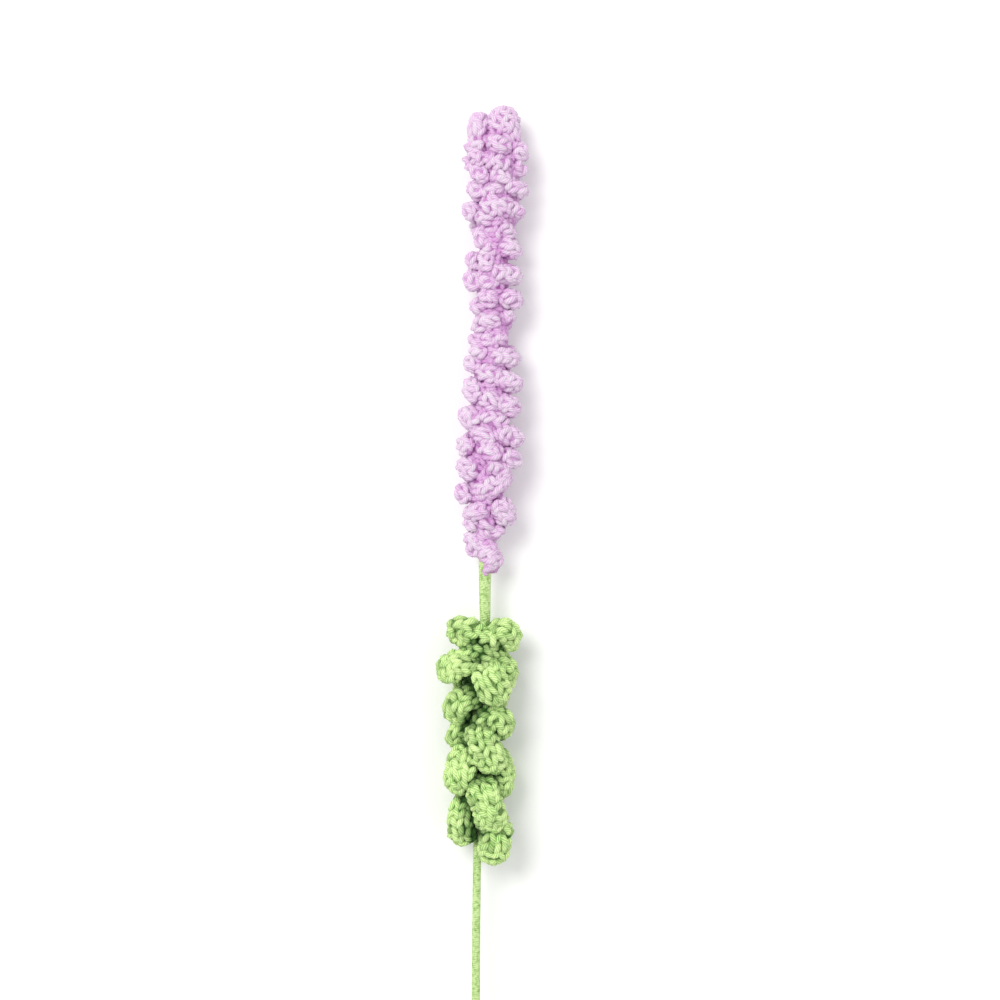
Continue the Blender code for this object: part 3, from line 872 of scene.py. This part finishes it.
def cotton(name, crest, groove, deep, depth, hatch, plies=YARN_PLIES, girth=7.0 * MM,
           fibre=0.16 * MM, mottle=0.0):
    """Plied cotton: fibres run along each ply, with painted shade between plies and far in.

    The deep colour is painted shade, and depth says how strongly it comes in far in. The groove
    colour is painted shade between the plies and the darker tone of the fibres and spots; hatch says
    how much of it is between the plies, and mottle how much of it is in spots all over.
    """
    finish = Finish(name, Roughness=0.9, Sheen_Weight=0.05, Sheen_Roughness=0.5)
    uv = finish.node("ShaderNodeUVMap", {"uv_map": "UVMap"}, {})
    turn = finish.node("ShaderNodeSeparateXYZ", {}, {0: uv})
    along = Value(finish, turn.socket.node.outputs[1])
    place = finish.node("ShaderNodeTexCoord", {}, {}, output="Object")
    patches = finish.noise(place, scale=160.0, detail=3.0)
    wander = finish.noise(place, scale=420.0, detail=2.0)
    phase = (turn + along * (1.0 / PLY_TURN)) * (TURN * plies) + wander * 4.0
    ply = 0.5 - 0.5 * phase.cosine()
    streak_place = finish.node("ShaderNodeCombineXYZ", {}, {0: turn * girth, 1: along * 0.16})
    streaks = finish.noise(streak_place, scale=1.0 / fibre, detail=3.0)
    shade = finish.node("ShaderNodeAttribute", {"attribute_name": "shade"}, {}, output="Fac")
    # Painted shade between plies, in patches only; fibres, random tone and painted shade far in add
    # to it.
    between = ((1.0 - ply) ** 1.5) * (patches * 1.6 - 0.2).clamped()
    shade_and_tone = between * hatch + (0.55 - streaks) * 0.7 + (0.5 - wander) * 0.4 + shade * 0.35
    if mottle:
        shade_and_tone = shade_and_tone + (finish.noise(place, scale=900.0, detail=3.0) - 0.5) * mottle
    colour = finish.mix(shade_and_tone.clamped(), crest, groove)
    finish.show("Base Color", finish.mix((shade * depth).clamped(), colour, deep))
    height = (ply ** 0.6) * 0.8 + streaks * 0.5
    finish.show("Normal", finish.bump(height, distance=0.2 * MM, strength=0.9))
    return finish.material


def steel(name):
    """Drawn wire, with fine lines along it and a few dull patches."""
    finish = Finish(name, Metallic=1.0)
    place = finish.node("ShaderNodeTexCoord", {}, {}, output="Object")
    drawn = finish.node("ShaderNodeMapping", {}, {"Vector": place, "Scale": (1.0, 0.02, 1.0)})
    lines = finish.noise(drawn, scale=9000.0, detail=3.0)
    patches = finish.noise(place, scale=400.0, detail=2.0)
    finish.show("Base Color", finish.mix(patches, (0.50, 0.50, 0.51), (0.62, 0.62, 0.63)))
    finish.show("Roughness", 0.3 + lines * 0.2)
    finish.show("Normal", finish.bump(lines, distance=0.02 * MM, strength=0.5))
    return finish.material


def paper(name):
    """A pale matt floor."""
    finish = Finish(name, Roughness=0.95)
    place = finish.node("ShaderNodeTexCoord", {}, {}, output="Object")
    tone = finish.noise(place, scale=30.0, detail=2.0)
    finish.show("Base Color", finish.mix(tone, (0.90, 0.90, 0.90), (0.93, 0.93, 0.93)))
    return finish.material


def dress(piece, node, material):
    """Puts a finished piece on the stem in place of its plain solid."""
    piece.data.materials.clear()
    piece.data.materials.append(material)
    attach(piece, "root")
    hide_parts(node)


def make_floor():
    bpy.ops.object.select_all(action="DESELECT")
    bpy.ops.mesh.primitive_plane_add(size=FLOOR_SIZE, location=MIDDLE)
    floor = bpy.context.object
    floor.name = "floor"
    floor.data.materials.append(paper("pale_floor"))


def add_light(name, place, size, power, colour):
    """A round soft lamp that shines on the middle of the stem."""
    light = bpy.data.lights.new(name, "AREA")
    light.shape = "DISK"
    light.size = size
    light.energy = power
    light.color = colour
    lamp = bpy.data.objects.new(name, light)
    lamp.location = place
    lamp.rotation_euler = (Vector(MIDDLE) - Vector(place)).to_track_quat("-Z", "Y").to_euler()
    bpy.context.scene.collection.objects.link(lamp)


def light_studio():
    world = bpy.data.worlds.new("studio")
    bpy.context.scene.world = world
    world.use_nodes = True
    background = world.node_tree.nodes["Background"]
    background.inputs["Color"].default_value = (1.0, 1.0, 1.0, 1.0)
    background.inputs["Strength"].default_value = 0.77
    add_light("window", (-1.1, 1.1, 2.2), size=1.6, power=46.0, colour=(1.0, 0.99, 0.97))
    add_light("fill", (1.6, -0.3, 1.8), size=1.6, power=8.0, colour=(1.0, 1.0, 1.0))


def add_camera():
    """A camera straight above, whose view is VIEW_WIDTH wide at the stem's height."""
    camera = bpy.data.cameras.new("overhead")
    camera.sensor_width = SENSOR
    distance = CAMERA_HEIGHT - CAMERA_AIM.z
    camera.lens = SENSOR * distance / VIEW_WIDTH
    camera.clip_end = 20.0
    viewer = bpy.data.objects.new("overhead", camera)
    viewer.location = (CAMERA_AIM.x, CAMERA_AIM.y, CAMERA_HEIGHT)
    bpy.context.scene.collection.objects.link(viewer)
    bpy.context.scene.camera = viewer


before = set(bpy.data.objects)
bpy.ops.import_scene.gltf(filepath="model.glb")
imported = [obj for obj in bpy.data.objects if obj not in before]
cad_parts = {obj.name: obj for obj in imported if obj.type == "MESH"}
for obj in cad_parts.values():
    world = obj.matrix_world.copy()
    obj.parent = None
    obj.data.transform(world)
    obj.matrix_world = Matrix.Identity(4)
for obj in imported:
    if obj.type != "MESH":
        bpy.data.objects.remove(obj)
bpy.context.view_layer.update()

yarn_outline = round_outline("yarn_outline", YARN_SIDES)
thread_outline = round_outline("thread_outline", THREAD_SIDES)

# Groove colours: painted shade between plies, and darker fibre tone. Deep colours: painted shade far
# in.
lavender = cotton("lavender_yarn", crest=(0.73, 0.65, 0.735), groove=(0.70, 0.405, 0.70),
                  deep=(0.53, 0.16, 0.525), depth=0.86, hatch=1.45)
green = cotton("green_yarn", crest=(0.715, 0.885, 0.39), groove=(0.085, 0.43, 0.006),
               deep=(0.014, 0.072, 0.001), depth=1.3, hatch=0.85)
thread = cotton("wrapping_thread", crest=(0.585, 0.755, 0.345), groove=(0.20, 0.40, 0.07),
                deep=(0.20, 0.40, 0.07), depth=0.3, hatch=0.5, plies=THREAD_PLIES,
                girth=4.0 * MM, fibre=0.10 * MM, mottle=3.2)

for node, slot, material, (forms, strands) in (
    ("flower_strip", "lavender_yarn", lavender, flower_forms()),
    ("leaf_strip", "green_yarn", green, leaf_forms()),
):
    dress(fill(node + "_inside", forms), node, material)
    for first in range(0, len(strands), PIECE_STRANDS):
        name = f"{node}_stitches_{first // PIECE_STRANDS + 1}"
        part = strands[first:first + PIECE_STRANDS]
        dress(spin_yarn(name, part, yarn_outline), node, material)
winding = spin_yarn("stem_wrap_thread", [wrap_strand()], thread_outline)
dress(winding, "stem_wrap", thread)
for outline in (yarn_outline, thread_outline):
    bpy.data.objects.remove(outline)

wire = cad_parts["stem_wire"]
wire.data.materials.clear()
wire.data.materials.append(steel("drawn_wire"))

make_floor()
light_studio()
add_camera()
bpy.context.scene.view_settings.view_transform = "Standard"
